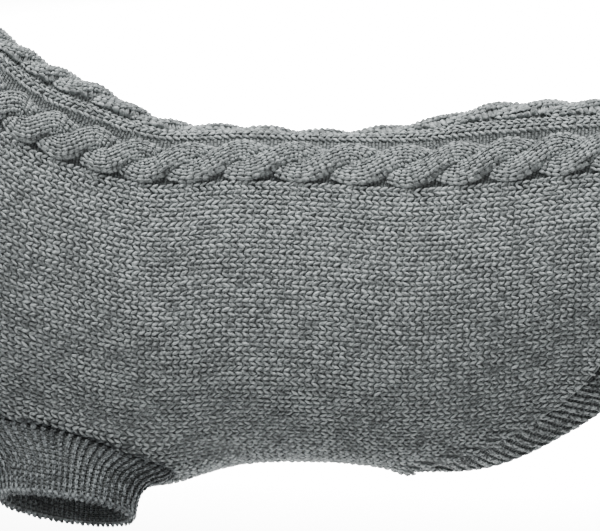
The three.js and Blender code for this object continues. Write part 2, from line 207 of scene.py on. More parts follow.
# Soft creases of the body: distance from the tail ring, place round the body (left side positive),
# half length, half width, height (troughs are negative) and turn in degrees away from the spine line
CREASES = [
    (318, 0.62, 34, 9, -1.6, -38),
    (300, 0.50, 46, 13, 1.1, -30),
    (275, 0.66, 40, 11, -1.0, -22),
    (392, 0.58, 38, 10, -1.3, 40),
    (210, 0.55, 70, 17, -0.8, 8),
    (150, 0.42, 60, 15, 0.7, -10),
    (95, 0.60, 44, 12, -1.2, 24),
    (60, 0.45, 40, 12, 0.8, 30),
    (120, 0.78, 50, 11, -0.9, 14),
    (322, -0.60, 38, 10, -1.5, 34),
    (296, -0.48, 44, 12, 1.0, 27),
    (268, -0.68, 36, 10, -1.1, 18),
    (398, -0.55, 42, 11, -1.2, -36),
    (205, -0.52, 62, 16, -0.9, -12),
    (140, -0.44, 66, 14, 0.8, 7),
    (88, -0.63, 40, 13, -1.0, -28),
]


def mix(a, b, share):
    return a + (b - a) * share


# Body surface, as in the solids

def smooth_rows(rows, place):
    rows = np.asarray(rows, float)
    index = np.clip(np.floor(place).astype(int), 0, len(rows) - 2)
    f = (place - index)[:, None]
    before = rows[np.maximum(index - 1, 0)]
    a = rows[index]
    b = rows[index + 1]
    after = rows[np.minimum(index + 2, len(rows) - 1)]
    pull = before * 2 - a * 5 + b * 4 - after
    swing = (a - b) * 3 + after - before
    return a + 0.5 * f * (b - before + f * (pull + f * swing))


def body_rings():
    count = (len(RINGS) - 1) * RING_STEPS + 1
    columns = smooth_rows(RINGS, np.linspace(0, len(RINGS) - 1, count)).T
    back_x, back_z, belly_x, belly_z, half, widest, roll = (column[:, None] for column in columns)
    angle = np.linspace(0, math.pi, ANGLE_STEPS + 1)[None, :]
    cos = np.cos(angle)
    height = np.where(cos > 0, mix(widest, 1, cos), widest * (1 + cos))
    x = mix(belly_x, back_x, height)
    z = mix(belly_z, back_z, height)
    y = -half * np.sin(angle)
    sections = np.stack([x, y, z], axis=-1)
    steps = np.linalg.norm(np.diff(sections, axis=1), axis=-1)
    arcs = np.concatenate([np.zeros((count, 1)), np.cumsum(steps, axis=1)], axis=1)
    shares = np.linspace(0, 1, ROUND_STEPS + 1)
    grid = np.empty((count, ROUND_STEPS + 1, 3))
    side = np.empty((count, 3))
    for ring in range(count):
        for axis in range(3):
            grid[ring, :, axis] = np.interp(shares * arcs[ring, -1], arcs[ring], sections[ring, :, axis])
            side[ring, axis] = np.interp(SIDE_LINE, arcs[ring], sections[ring, :, axis])
    along = np.concatenate([[0], np.cumsum(np.linalg.norm(np.diff(side, axis=0), axis=1))])
    tall = np.hypot(back_x - belly_x, back_z - belly_z)
    top_radius = half ** 2 / (tall * (1 - widest))
    shift = np.radians(roll) * top_radius
    return grid, along, arcs[:, -1], shift[:, 0]


RING_GRID, RING_ALONG, RING_GIRTH, RING_SHIFT = body_rings()
BODY_LENGTH = RING_ALONG[-1]
RING_NUMBERS = np.arange(len(RING_ALONG))
PROBE = 0.8


def half_girth(along):
    """Length over the skin from the top of a ring to its bottom."""
    return np.interp(along, RING_ALONG, RING_GIRTH)


def spine_shift(along):
    """Arc from the top of a ring to the turned spine."""
    return np.interp(along, RING_ALONG, RING_SHIFT)


def seam_arc(along):
    places, shares = zip(*SEAM_LINE)
    return np.interp(along, places, shares) * half_girth(along)


def on_body(along, arc):
    """Points of the body's surface. Arcs run from the top, and those of the left side are positive."""
    row = np.interp(along, RING_ALONG, RING_NUMBERS)
    round_share = np.abs(arc) / half_girth(along)
    past = round_share > 1
    column = np.clip(np.where(past, 2 - round_share, round_share), 0, 1) * ROUND_STEPS
    i = np.minimum(row.astype(int), len(RING_ALONG) - 2)
    j = np.minimum(column.astype(int), ROUND_STEPS - 1)
    f = (row - i)[..., None]
    g = (column - j)[..., None]
    near = mix(RING_GRID[i, j], RING_GRID[i, j + 1], g)
    far = mix(RING_GRID[i + 1, j], RING_GRID[i + 1, j + 1], g)
    point = mix(near, far, f)
    point[..., 1] = np.where((arc < 0) != past, -point[..., 1], point[..., 1])
    return point


def unit(vectors):
    return vectors / np.maximum(np.linalg.norm(vectors, axis=-1, keepdims=True), 1e-9)


def body_normal(along, arc):
    forward = on_body(along + PROBE, arc) - on_body(along - PROBE, arc)
    sideways = on_body(along, arc + PROBE) - on_body(along, arc - PROBE)
    return unit(np.cross(forward, sideways))


def crease_lift(along, arc):
    total = np.zeros(np.broadcast(along, arc).shape)
    for place, round_share, half_length, half_width, height, turn in CREASES:
        forward = along - place
        sideways = arc - round_share * half_girth(place)
        cos = math.cos(math.radians(turn))
        sin = math.sin(math.radians(turn))
        run = (forward * cos + sideways * sin) / half_length
        off = (sideways * cos - forward * sin) / half_width
        total += height * np.exp(-run ** 2 - off ** 2)
    return total


def lifted_point(along, arc, lift):
    height = (lift + crease_lift(along, arc))[..., None]
    return on_body(along, arc) + body_normal(along, arc) * height


# Spine pattern

def strand_turn(along, strand):
    return math.pi * (np.interp(along, LOBES, np.arange(len(LOBES))) + LOBE_END + strand)


def strand_middle(along, strand):
    return -STRAND_SWING * np.cos(strand_turn(along, strand))


def strand_lift(along, across, strand):
    turn = strand_turn(along, strand)
    middle = strand_middle(along, strand)
    crown = STRAND_CROWN * np.sqrt(np.maximum(0, 1 - ((across - middle) / STRAND_HALF) ** 2))
    gap = np.abs(across + middle) - STRAND_HALF
    tucked = TUCK * np.maximum(0, -np.sin(turn)) * np.clip(1 - gap / TUCK_REACH, 0, 1)
    return np.where(crown > 0, crown + STRAND_RISE * np.sin(turn) - tucked, 0)


def rope_lift(along, across):
    return np.maximum(0, np.maximum(strand_lift(along, across, 0), strand_lift(along, across, 1)))


def band_lift(from_spine):
    return BAND_LIFT * np.sqrt(np.maximum(0, 1 - (from_spine / BAND_HALF) ** 2))


def pattern_lift(along, from_spine):
    """Height of the spine pattern: a band, and cables that lie in sunken ground."""
    side = np.abs(from_spine)
    outside = np.maximum(0, np.maximum(TROUGH_IN - side, side - TROUGH_OUT))
    sunk = -TROUGH_DEPTH * np.maximum(0, 1 - outside / TROUGH_HALF)
    rope = rope_lift(along, from_spine - np.sign(from_spine) * CABLE_CENTRE)
    return np.where(side < BAND_HALF, band_lift(from_spine), np.where(rope > 0.05, rope, sunk))


# Hem line, laid out in a flat plane of length against girth

def hem_curve():
    flat = np.array([(RINGS[0][0] - x, share * HEM_HALF_GIRTH) for x, share in HEM_EDGE])
    ends = [2 * flat[0] - flat[1], 2 * flat[-1] - flat[-2]]
    points = np.vstack([ends[:1], flat, ends[1:]])
    fine = np.linspace(0, 1, 60, endpoint=False)[:, None]
    pieces = []
    for k in range(1, len(points) - 2):
        p0, p1, p2, p3 = points[k - 1:k + 3]
        gap0, gap1, gap2 = (math.sqrt(np.linalg.norm(b - a)) for a, b in ((p0, p1), (p1, p2), (p2, p3)))
        way1 = ((p1 - p0) / gap0 - (p2 - p0) / (gap0 + gap1) + (p2 - p1) / gap1) * gap1
        way2 = ((p2 - p1) / gap1 - (p3 - p1) / (gap1 + gap2) + (p3 - p2) / gap2) * gap1
        square = -3 * p1 + 3 * p2 - 2 * way1 - way2
        cube = 2 * p1 - 2 * p2 + way1 + way2
        pieces.append(p1 + way1 * fine + square * fine ** 2 + cube * fine ** 3)
    line = np.vstack([*pieces, flat[-1:]])
    length = np.concatenate([[0], np.cumsum(np.linalg.norm(np.diff(line, axis=0), axis=1))])
    even = np.linspace(0, length[-1], HEM_SAMPLES + 1)
    place = np.stack([np.interp(even, length, line[:, axis]) for axis in range(2)], axis=1)
    way = unit(np.gradient(place, axis=0))
    way[0] = (0, 1)
    way[-1] = (0, 1)
    return place, np.stack([way[:, 1], -way[:, 0]], axis=1)


HEM_PLACE, HEM_INWARD = hem_curve()
HEM_NUMBERS = np.linspace(0, 1, HEM_SAMPLES + 1)


def hem_point(place, width):
    """Distance from the tail ring and arc of a point that lies width inside the free edge."""
    at = np.clip(np.abs(place), 0, 1)
    value = [np.interp(at, HEM_NUMBERS, column) for column in (*HEM_PLACE.T, *HEM_INWARD.T)]
    along = value[0] + width * value[2]
    share = (value[1] + width * value[3]) / HEM_HALF_GIRTH
    return along, np.where(place < 0, -share, share) * half_girth(along)


HEM_SEAM_ALONG, HEM_SEAM_ARC = hem_point(HEM_NUMBERS, HEM_WIDTH + CURVED_SEAM_GAP)
HEM_SEAM_ROUND = HEM_SEAM_ARC / half_girth(HEM_SEAM_ALONG)


def hem_start(arc_at):
    along = arc_at(0.0) * 0 + HEM_SEAM_ALONG[0]
    for _ in range(12):
        share = np.clip(np.abs(arc_at(along)) / half_girth(along), 0, 1)
        along = mix(along, np.interp(share, HEM_SEAM_ROUND, HEM_SEAM_ALONG), 0.7)
    return along


def edge_puff(along, arc, start):
    """The body's cloth stands out a little at its edges, over the ribs that are sewn to it."""
    outside = np.maximum(armhole_reach(along, arc) - 1, 0) * ARMHOLE_HALF_ROUND
    armhole = ARMHOLE_PUFF * np.exp(-(outside / ARMHOLE_PUFF_REACH) ** 2)
    hem = EDGE_PUFF * np.exp(-((along - start) / EDGE_PUFF_REACH) ** 2)
    return hem + armhole + NECK_PUFF * np.exp(-((BODY_LENGTH - along) / EDGE_PUFF_REACH) ** 2)


def pattern_fade(along, start):
    """The spine pattern sinks into plain cloth where it meets the hem and the collar."""
    return np.clip((np.minimum(along - start, BODY_LENGTH - along) - 1) / PATTERN_FADE, 0, 1)


# Armhole, an oval in the body's own surface

ARMHOLE_ARC = ARMHOLE_ROUND * half_girth(ARMHOLE_ALONG)


def armhole_reach(along, arc):
    """How far a place lies from the armhole's middle, where 1 is on its edge."""
    forward = (along - ARMHOLE_ALONG) / ARMHOLE_HALF_ALONG
    sideways = (np.abs(arc) - ARMHOLE_ARC - ARMHOLE_SLANT * (along - ARMHOLE_ALONG)) / ARMHOLE_HALF_ROUND
    return np.hypot(forward, sideways)


def even_angle(share):
    """Angle round the armhole's oval at an even share of the length of its edge."""
    turn = np.linspace(0, 2 * math.pi, 361)
    middle = (turn[1:] + turn[:-1]) / 2
    steps = np.hypot(ARMHOLE_HALF_ALONG * np.sin(middle), ARMHOLE_HALF_ROUND * np.cos(middle))
    length = np.concatenate([[0], np.cumsum(steps)])
    return np.interp(share % 1, length / length[-1], turn)


def armhole_place(sign):
    """Places beside the armhole: t is the distance out from its edge, and s counts stitches round it."""
    def place(t, s, lift):
        angle = even_angle(s / ARMHOLE_STITCHES)
        along = ARMHOLE_ALONG + (ARMHOLE_HALF_ALONG + t) * np.cos(angle)
        middle = ARMHOLE_ARC + ARMHOLE_SLANT * (along - ARMHOLE_ALONG)
        arc = middle + (ARMHOLE_HALF_ROUND + t) * np.sin(angle)
        return lifted_point(along, sign * arc, lift + ARMHOLE_PUFF)

    return place


def clear_of_armhole(along, arc):
    """Moves places inside the armhole out to its edge."""
    reach = np.maximum(armhole_reach(along, arc), 1e-6)
    push = np.where(reach < 1, 1 / reach, 1)
    moved = ARMHOLE_ALONG + (along - ARMHOLE_ALONG) * push
    drift = ARMHOLE_ARC + ARMHOLE_SLANT * (moved - ARMHOLE_ALONG)
    middle = ARMHOLE_ARC + ARMHOLE_SLANT * (along - ARMHOLE_ALONG)
    size = np.where(reach < 1, drift + (np.abs(arc) - middle) * push, np.abs(arc))
    return moved, np.where(arc < 0, -size, size)


# Ways from a cloth's own lengths to a place in space. t runs along the wales and s across them.

def back_place(t, s, lift):
    return lifted_point(t, s + spine_shift(t), lift)


def belly_place(t, s, lift):
    return lifted_point(t, half_girth(t) - s, lift)


def hem_place(t, ribs, lift):
    turn = 2 * ribs / HEM_RIBS - 1
    turn = turn - HEM_SKEW * np.sin(math.pi * turn) * t / HEM_WIDTH
    along, arc = hem_point(turn, HEM_WIDTH - t)
    return lifted_point(along, arc, lift)


def collar_place(t, ribs, lift):
    arc = mix(-RING_GIRTH[-1], RING_GIRTH[-1], (ribs / COLLAR_RIBS) % 1)
    root = on_body(np.full(arc.shape, BODY_LENGTH), arc)
    back_x, back_z, belly_x, belly_z = RINGS[-1][:4]
    middle = np.array([back_x + belly_x, 0, back_z + belly_z]) / 2
    across = unit(np.array([back_x - belly_x, 0, back_z - belly_z], float))
    axis = np.array([-across[2], 0, across[0]])
    share = t / COLLAR_LENGTH
    flare = COLLAR_FLARE * share ** 2 + lift
    reach = SEAM_GAP + t * (COLLAR_LENGTH - SEAM_GAP) / COLLAR_LENGTH
    return root + axis * reach[..., None] + unit(root - middle) * flare[..., None]


def sleeve_ends(sign, angle):
    """Points of the armhole's edge and of the cuff's edge at each angle."""
    along = ARMHOLE_ALONG + ARMHOLE_HALF_ALONG * np.cos(angle)
    drift = ARMHOLE_SLANT * ARMHOLE_HALF_ALONG * np.cos(angle)
    root = on_body(along, ARMHOLE_ARC + drift + ARMHOLE_HALF_ROUND * np.sin(angle))
    root[..., 1] = -sign * np.abs(root[..., 1])
    splay = math.radians(CUFF_SPLAY)
    tilt = math.radians(CUFF_TILT)
    sideways = np.array([0, sign * math.cos(splay), -math.sin(splay)])
    headward = np.array([-math.cos(tilt), 0, math.sin(tilt)])
    centre = np.array([CUFF_X, -sign * CUFF_SIDE, CUFF_Z])
    cuff = centre + headward * (CUFF_HALF_X * np.cos(angle))[..., None]
    cuff = cuff + sideways * (CUFF_HALF_Y * np.sin(angle))[..., None]
    return root, cuff


def eased(root, cuff, way, cuff_way, share):
    """Points at a share of the curve that leaves the root one way and reaches the cuff another way."""
    s = share[..., None]
    second = root + way * SLEEVE_EASE / 2
    third = cuff - cuff_way * SLEEVE_EASE
    rest = 1 - s
    return root * rest ** 3 + second * 3 * rest ** 2 * s + third * 3 * rest * s ** 2 + cuff * s ** 3


def even_share(root, cuff, way, cuff_way, share):
    """The eased line's own share at a share of its length."""
    steps = np.linspace(0, 1, 9)
    line = [eased(root, cuff, way, cuff_way, np.full(share.shape, step)) for step in steps]
    pieces = [np.linalg.norm(b - a, axis=-1) for a, b in zip(line, line[1:])]
    left = share * sum(pieces)
    total = np.zeros(share.shape)
    for piece in pieces:
        total = total + np.clip(left / piece, 0, 1) / len(pieces)
        left = left - piece
    return total + np.maximum(left, 0) / np.linalg.norm(cuff - root, axis=-1)


def sleeve_place(sign):
    turn = np.linspace(0, 2 * math.pi, 4 * SLEEVE_RIBS, endpoint=False)
    middles = [ring.mean(axis=0) for ring in sleeve_ends(sign, turn)]
    way = body_normal(np.array([ARMHOLE_ALONG * 1.0]), np.array([sign * ARMHOLE_ARC]))[0]
    splay = math.radians(CUFF_SPLAY)
    cuff_way = np.array([0, -sign * math.sin(splay), -math.cos(splay)])

    def place(t, ribs, lift):
        root, cuff = sleeve_ends(sign, even_angle(ribs / SLEEVE_RIBS))
        share = even_share(root, cuff, way, cuff_way, np.clip(t / SLEEVE_LENGTH, 0, 1.05))
        point = eased(root, cuff, way, cuff_way, share)
        inward = eased(middles[0], middles[1], way, cuff_way, share) - point
        along_way = (inward * way).sum(axis=-1) * (1 - share)
        inward = unit(inward - way * along_way[..., None])
        return point + inward * (SEAM_GAP - lift)[..., None] + way * np.minimum(0, t)[..., None]

    return place


# Making meshes

def clear_selection():
    if bpy.context.object and bpy.context.object.mode != "OBJECT":
        bpy.ops.object.mode_set(mode="OBJECT")
    bpy.ops.object.select_all(action="DESELECT")


def knit_grain(segments, rings):
    """One short stretch of yarn, modelled once: a ball that is fuller towards one end."""
    clear_selection()
    bpy.ops.mesh.primitive_uv_sphere_add(segments=segments, ring_count=rings, radius=1)
    ball = bpy.context.object
    for vertex in ball.data.vertices:
        vertex.select = 0.3 < vertex.co.z < 0.95
    bpy.ops.object.mode_set(mode="EDIT")
    bpy.ops.transform.resize(value=(1.14, 1.1, 1))
    bpy.ops.object.mode_set(mode="OBJECT")
    mesh = ball.data
    points = np.array([vertex.co for vertex in mesh.vertices])
    corners = np.array([loop.vertex_index for loop in mesh.loops])
    starts = np.array([polygon.loop_start for polygon in mesh.polygons])
    spots = np.array([corner.uv for corner in mesh.uv_layers.active.data])
    bpy.data.objects.remove(ball)
    bpy.data.meshes.remove(mesh)
    return {"points": points, "corners": corners, "starts": starts, "spots": spots}


def joined_copies(name, grain, places, material):
    """Copies of one grain in one mesh. places holds each copy's points, in millimetres."""
    copies, size = places.shape[:2]
    mesh = bpy.data.meshes.new(name)
    mesh.vertices.add(copies * size)
    mesh.vertices.foreach_set("co", (places * MM).astype(np.float32).ravel())
    corners = grain["corners"][None, :] + size * np.arange(copies)[:, None]
    starts = grain["starts"][None, :] + len(grain["corners"]) * np.arange(copies)[:, None]
    mesh.loops.add(corners.size)
    mesh.loops.foreach_set("vertex_index", corners.ravel().astype(np.int32))
    mesh.polygons.add(starts.size)
    mesh.polygons.foreach_set("loop_start", starts.ravel().astype(np.int32))
    yarn_map = mesh.uv_layers.new(name="yarn")
    shifts = np.random.default_rng(copies).uniform(0, 40, (copies, 1, 2))
    spots = grain["spots"][None, :, :] + shifts
    yarn_map.data.foreach_set("uv", spots.astype(np.float32).ravel())
    mesh.update(calc_edges=True)
    mesh.polygons.foreach_set("use_smooth", np.ones(starts.size, dtype=bool))
    mesh.materials.append(material)
    piece = bpy.data.objects.new(name, mesh)
    bpy.context.scene.collection.objects.link(piece)
    return piece


def grid_shares(mesh):
    """Where each vertex of a fresh grid lies, as shares of the way across and along it."""
    flat = np.empty(len(mesh.vertices) * 3)
    mesh.vertices.foreach_get("co", flat)
    flat = flat.reshape(-1, 3) + 0.5
    return flat[:, 0], flat[:, 1]


def edit_whole(step, **values):
    """Runs one tool of edit mode on the whole of the active mesh."""
    bpy.ops.object.mode_set(mode="EDIT")
    bpy.ops.mesh.select_all(action="SELECT")
    step(**values)
    bpy.ops.object.mode_set(mode="OBJECT")


def cloth_shell(name, columns, rows, place, thickness, material, is_tube=False, inside=None):
    """A sheet of cloth as a closed thin shell. place gives a point for each share across and along."""
    clear_selection()
    bpy.ops.mesh.primitive_grid_add(x_subdivisions=columns, y_subdivisions=rows, size=1)
    sheet = bpy.context.object
    sheet.name = name
    sheet.data.name = name
    mesh = sheet.data
    if inside is not None:
        drop_faces(mesh, inside(*grid_shares(mesh)))
    points = place(*grid_shares(mesh))
    mesh.vertices.foreach_set("co", (points * MM).ravel())
    mesh.update()
    if is_tube:
        edit_whole(bpy.ops.mesh.remove_doubles, threshold=0.00002)
    solidify = sheet.modifiers.new("thickness", "SOLIDIFY")
    solidify.thickness = thickness * MM
    solidify.offset = -1 if faces_outwards(mesh, points) else 1
    solidify.use_quality_normals = True
    bpy.ops.object.modifier_apply(modifier=solidify.name)
    edit_whole(bpy.ops.mesh.normals_make_consistent, inside=False)
    bpy.ops.object.shade_smooth()
    sheet.data.uv_layers[0].name = "cloth"
    sheet.data.materials.clear()
    sheet.data.materials.append(material)
    return sheet


def drop_faces(mesh, gone):
    """Deletes the faces whose corners are all inside an opening."""
    for part in (*mesh.edges, *mesh.vertices):
        part.select = False
    for polygon in mesh.polygons:
        polygon.select = all(gone[vertex] for vertex in polygon.vertices)
    bpy.ops.object.mode_set(mode="EDIT")
    bpy.ops.mesh.select_mode(type="FACE")
    bpy.ops.mesh.delete(type="FACE")
    bpy.ops.object.mode_set(mode="OBJECT")


def faces_outwards(mesh, points):
    """True if the sheet's first faces point away from the middle of the whole sheet."""
    middle = Vector(points.mean(axis=0) * MM)
    faces = mesh.polygons
    return sum((face.center - middle).dot(face.normal) * face.area for face in faces) > 0


# Stitches. A wale is a column of stitches, and each stitch shows two legs that meet towards the neck.

def jitter(random, count, amount):
    return random.uniform(-amount, amount, count)[:, None]


def grains_along(grain, t, s, way_t, way_s, half_length, half, height, lift, arch):
    """Places of grain copies, each centred at t and s with its length along the given way."""
    a, b, c = (grain["points"][:, axis][None, :] for axis in range(3))
    spread_t = t + c * half_length * way_t - a * half * way_s
    spread_s = s + c * half_length * way_s + a * half * way_t
    return spread_t, spread_s, lift + arch * (1 - c ** 2) + b * height


def knit_legs(random, grain, t0, t1, s, wale, size=1.0, spread=LEG_SPREAD):
    """Both legs of each stitch between t0 and t1 on wales centred at s. Returns t, s and lift arrays."""
    every = []
    for side in (-1, 1):
        count = len(t0)
        middle = ((t0 + t1) / 2)[:, None] + jitter(random, count, STRAY_ALONG)
        foot = spread[0] * wale * side
        head = spread[1] * wale * side
        centre = s[:, None] + (foot + head) / 2 + jitter(random, count, STRAY_ACROSS)
        rise = (foot - head) * LEG_REACH
        run = (t1 - t0)[:, None] * LEG_REACH
        lean = np.arctan2(rise, run) + jitter(random, count, STRAY_LEAN)
        length = np.hypot(rise, run) * (1 + jitter(random, count, STRAY_LENGTH)) / 2
        half = LEG_HALF * size * (1 + jitter(random, count, STRAY_HALF))
        height = LEG_HEIGHT * size * (1 + jitter(random, count, STRAY_HEIGHT))
        lift = -LEG_SINK * size + jitter(random, count, STRAY_LIFT)
        arch = LEG_ARCH * size
        every.append(grains_along(
            grain, middle, centre, np.cos(lean), np.sin(lean), length, half, height, lift, arch,
        ))
    return [np.concatenate(parts) for parts in zip(*every)]


def course_places(place, s):
    """Where one wale's courses begin: halfway between even steps along the body and along the wale."""
    fine = np.arange(0, BODY_LENGTH + 2, 2.0)
    points = place(fine, np.full(fine.shape, s), np.zeros(fine.shape))
    length = np.concatenate([[0], np.cumsum(np.linalg.norm(np.diff(points, axis=0), axis=1))])
    length = length - np.interp(COURSE_ANCHOR, fine, length)
    count = (length + fine - COURSE_ANCHOR) / (2 * COURSE)
    numbers = np.arange(math.ceil(count[0]), math.floor(count[-1]) + 1)
    return np.interp(numbers, count, fine)


def wale_stitches(place, centres, keep):
    """Ends and centre line of every stitch on the wales that keep() leaves."""
    t0, t1, s = [], [], []
    for centre in centres:
        edges = course_places(place, centre)
        kept = keep(edges[:-1], edges[1:], np.full(len(edges) - 1, centre))
        t0.append(edges[:-1][kept])
        t1.append(edges[1:][kept])
        s.append(np.full(kept.sum(), centre))
    return np.concatenate(t0), np.concatenate(t1), np.concatenate(s)


def back_start(s):
    return hem_start(lambda along: s + spine_shift(along))


def keep_on_back(t0, t1, s):
    middle = (t0 + t1) / 2
    arc = s + spine_shift(middle)
    on_panel = np.abs(arc) < seam_arc(middle) + STITCH_SIDE
    return on_panel & is_clear(t0, t1, arc, back_start(s))


def belly_start(s):
    return hem_start(lambda along: half_girth(along) - s)


def keep_on_belly(t0, t1, s):
    middle = (t0 + t1) / 2
    half = half_girth(middle)
    on_panel = np.abs(s) < half - seam_arc(middle) + STITCH_SIDE
    return on_panel & is_clear(t0, t1, half - np.abs(s), belly_start(s))


def is_clear(t0, t1, arc, start):
    """True for stitches between the hem and the neck that stay out of the armholes."""
    inside = (t0 > start + STITCH_START) & (t1 < BODY_LENGTH + STITCH_END)
    return inside & (armhole_reach((t0 + t1) / 2, arc) > STITCH_ARMHOLE)


def strand_slope(along, strand):
    """Sideways travel of a strand's middle for each millimetre along the body."""
    return (strand_middle(along + 1, strand) - strand_middle(along - 1, strand)) / 2


def rope_places(t, offset, strand):
    """Places on one strand of a cable: t runs along the body and offset across the strand."""
    slope = np.arctan(strand_slope(t, strand))
    along = t - offset * np.sin(slope)
    across = strand_middle(t, strand) + offset * np.cos(slope)
    return along, across, strand_lift(along, across, strand)


def rope_legs(random, grain, strand, sign):
    """The stitches of one strand, where it lies over the other one."""
    fine = np.arange(0, BODY_LENGTH + 1, 1.0)
    slope = strand_slope(fine, strand)
    length = np.concatenate([[0], np.cumsum(np.hypot(1, (slope[1:] + slope[:-1]) / 2))])
    edges = np.interp(np.arange(0, length[-1], STRAND_COURSE), length, fine)
    t0, t1 = edges[:-1], edges[1:]
    every = []
    for offset in STRAND_WALES:
        along, across, height = rope_places((t0 + t1) / 2, np.full(len(t0), offset), strand)
        start = back_start(across + sign * CABLE_CENTRE)
        on_top = height > strand_lift(along, across, 1 - strand) - 0.1
        kept = on_top & (along > start) & (along < BODY_LENGTH)
        s = np.full(kept.sum(), offset)
        legs = knit_legs(random, grain, t0[kept], t1[kept], s, STRAND_WALE, spread=STRAND_SPREAD)
        along, across, height = rope_places(legs[0], legs[1], strand)
        height = height * pattern_fade(along, np.tile(start[kept], 2)[:, None])
        every.append(back_place(along, across + sign * CABLE_CENTRE, height + legs[2]))
    return np.concatenate(every)


def purl_bumps(random, grain, place, t, s, half_length, lift):
    """Short bumps that lie across the wales, as the back of a stitch does."""
    count = len(t)
    lean = math.pi / 2 + jitter(random, count, 0.35)
    centre = t[:, None] + jitter(random, count, 0.45)
    length = half_length * (1 + jitter(random, count, 0.08))
    return place(*grains_along(
        grain, centre, s[:, None], np.cos(lean), np.sin(lean), length, 0.6, 0.6, lift[:, None], 0.5,
    ))


def rib_stitches(random, grain, place, ribs, pitch, length, first=0.6):
    """Stitches on every rib and purl bumps in every groove. Across is counted in ribs."""
    last = length - 0.6
    courses = round((last - first) / RIB_COURSE)
    edges = np.linspace(first, last, courses + 1)
    t0 = np.tile(edges[:-1], ribs)
    t1 = np.tile(edges[1:], ribs)
    s = np.repeat(np.arange(ribs), courses).astype(float)
    t, across, lift = knit_legs(random, grain, t0, t1, s * 0, pitch, pitch * RIB_LEG, RIB_SPREAD)
    both = np.concatenate([s, s])[:, None]
    legs = place(t, both + across / pitch, lift + 0.1)
    middle = (t0 + t1) / 2

    def groove(t, across, lift):
        return place(t, s[:, None] + 0.5 + across / pitch, lift)

    depth = middle * 0 - RIB_DEPTH - 0.9
    bumps = purl_bumps(random, grain, groove, middle, s * 0, pitch * 0.2, depth)
    return np.concatenate([legs, bumps])


def ribs_and_edge(random, grain, place, ribs, pitch, length):
    """The stitches of a ribbed tube, with the chain on its free edge."""
    return np.concatenate([
        rib_stitches(random, grain, place, ribs, pitch, length),
        cast_off(random, grain, place, ribs, pitch, length),
    ])


def wrong_side(place):
    """Places on the inside of a ribbed tube, where a groove of the outside is a rib."""
    def inner(t, s, lift):
        return place(t, -s - 0.5, -WALL - 0.4 - lift)

    return inner


def cast_off(random, grain, place, ribs, pitch, t_edge):
    """The chain of stitches that ends a piece, laid over its free edge."""
    out = []
    for inset, depth, slant in CHAIN_ROWS:
        centre = (np.arange(ribs)[:, None] + 0.5) * pitch + jitter(random, ribs, 0.15)
        lean = math.pi / 2 + slant + jitter(random, ribs, 0.1)
        t = t_edge - inset + jitter(random, ribs, 0.15)
        t, across, lift = grains_along(
            grain, t, centre, np.cos(lean), np.sin(lean), pitch * 0.6, 0.85, 0.8, -depth, 0.3,
        )
        out.append(place(t, across / pitch, lift))
    return np.concatenate(out)


# Loose fibres that stand off the wool

def loose_fibres(random, grain, place, t, s):
    """Thin bent fibres, one on each place."""
    count = len(t)
    root = place(t, s, np.zeros(count))
    ahead = unit(place(t + 0.5, s, np.zeros(count)) - root)
    up = unit(place(t, s, np.ones(count)) - root)
    side = np.cross(up, ahead)
    turn = random.uniform(0, 2 * math.pi, count)[:, None]
    rise = random.uniform(0.05, 0.75, count)[:, None]
    way = unit((ahead * np.cos(turn) + side * np.sin(turn)) * np.cos(rise) + up * np.sin(rise))
    bend = unit(np.cross(way, random.normal(size=(count, 3))))
    half = random.uniform(0.8, 2.3, count)[:, None, None]
    thick = random.uniform(0.035, 0.06, count)[:, None, None]
    curl = random.uniform(-0.9, 0.9, count)[:, None, None]
    cross_a = unit(np.cross(way, bend))
    a, b, c = (grain["points"][:, axis][None, :, None] for axis in range(3))
    middle = root + up * 0.35
    line = middle[:, None, :] + way[:, None, :] * (c * half + half * 0.7)
    line = line + bend[:, None, :] * curl * c ** 2 * half * 0.5
    return line + cross_a[:, None, :] * a * thick + bend[:, None, :] * b * thick


# Wool finishes

# Wools: the colour that they take from the settings, tone of the dark and the light fibres, and sheen
WOOLS = {
    "stitch_wool": ("wool_colour", 0.54, 1.66, 0.25),
    # The rib wool is far darker than the body's: painted shade, for the shade on the sleeves under the
    # body's edge and in the grooves beside the cables
    "rib_wool": ("rib_colour_painted_shade", 0.42, 1.9, 0.2),
    "hem_wool": ("hem_colour", 0.42, 1.9, 0.2),
}
# Weights in the wool's tone of patches within a stitch, streaks along the yarn, and a slow drift
PATCH_SHARE = 0.55
STREAK_SHARE = 0.45
DRIFT_SHARE = 0.22


def node(tree, kind, place, **values):
    made = tree.nodes.new(kind)
    made.location = place
    for name, value in values.items():
        setattr(made, name, value)
    return made


def noise(tree, place, where, scale, detail=3):
    made = node(tree, "ShaderNodeTexNoise", place)
    made.inputs["Scale"].default_value = scale
    made.inputs["Detail"].default_value = detail
    tree.links.new(where, made.inputs["Vector"])
    return made.outputs["Fac"]


def scaled(tree, place, where, scale):
    made = node(tree, "ShaderNodeMapping", place)
    made.inputs["Scale"].default_value = scale
    tree.links.new(where, made.inputs["Vector"])
    return made.outputs[0]


def multiply_add(tree, place, value, factor, rest):
    """A value times a number, plus another value."""
    made = node(tree, "ShaderNodeMath", place, operation="MULTIPLY_ADD")
    made.inputs[1].default_value = factor
    tree.links.new(value, made.inputs[0])
    tree.links.new(rest, made.inputs[2])
    return made.outputs[0]


def shades(colour, *factors):
    """The colour at each factor of its brightness, with full cover."""
    return [(*[min(1, channel * factor) for channel in colour], 1) for factor in factors]


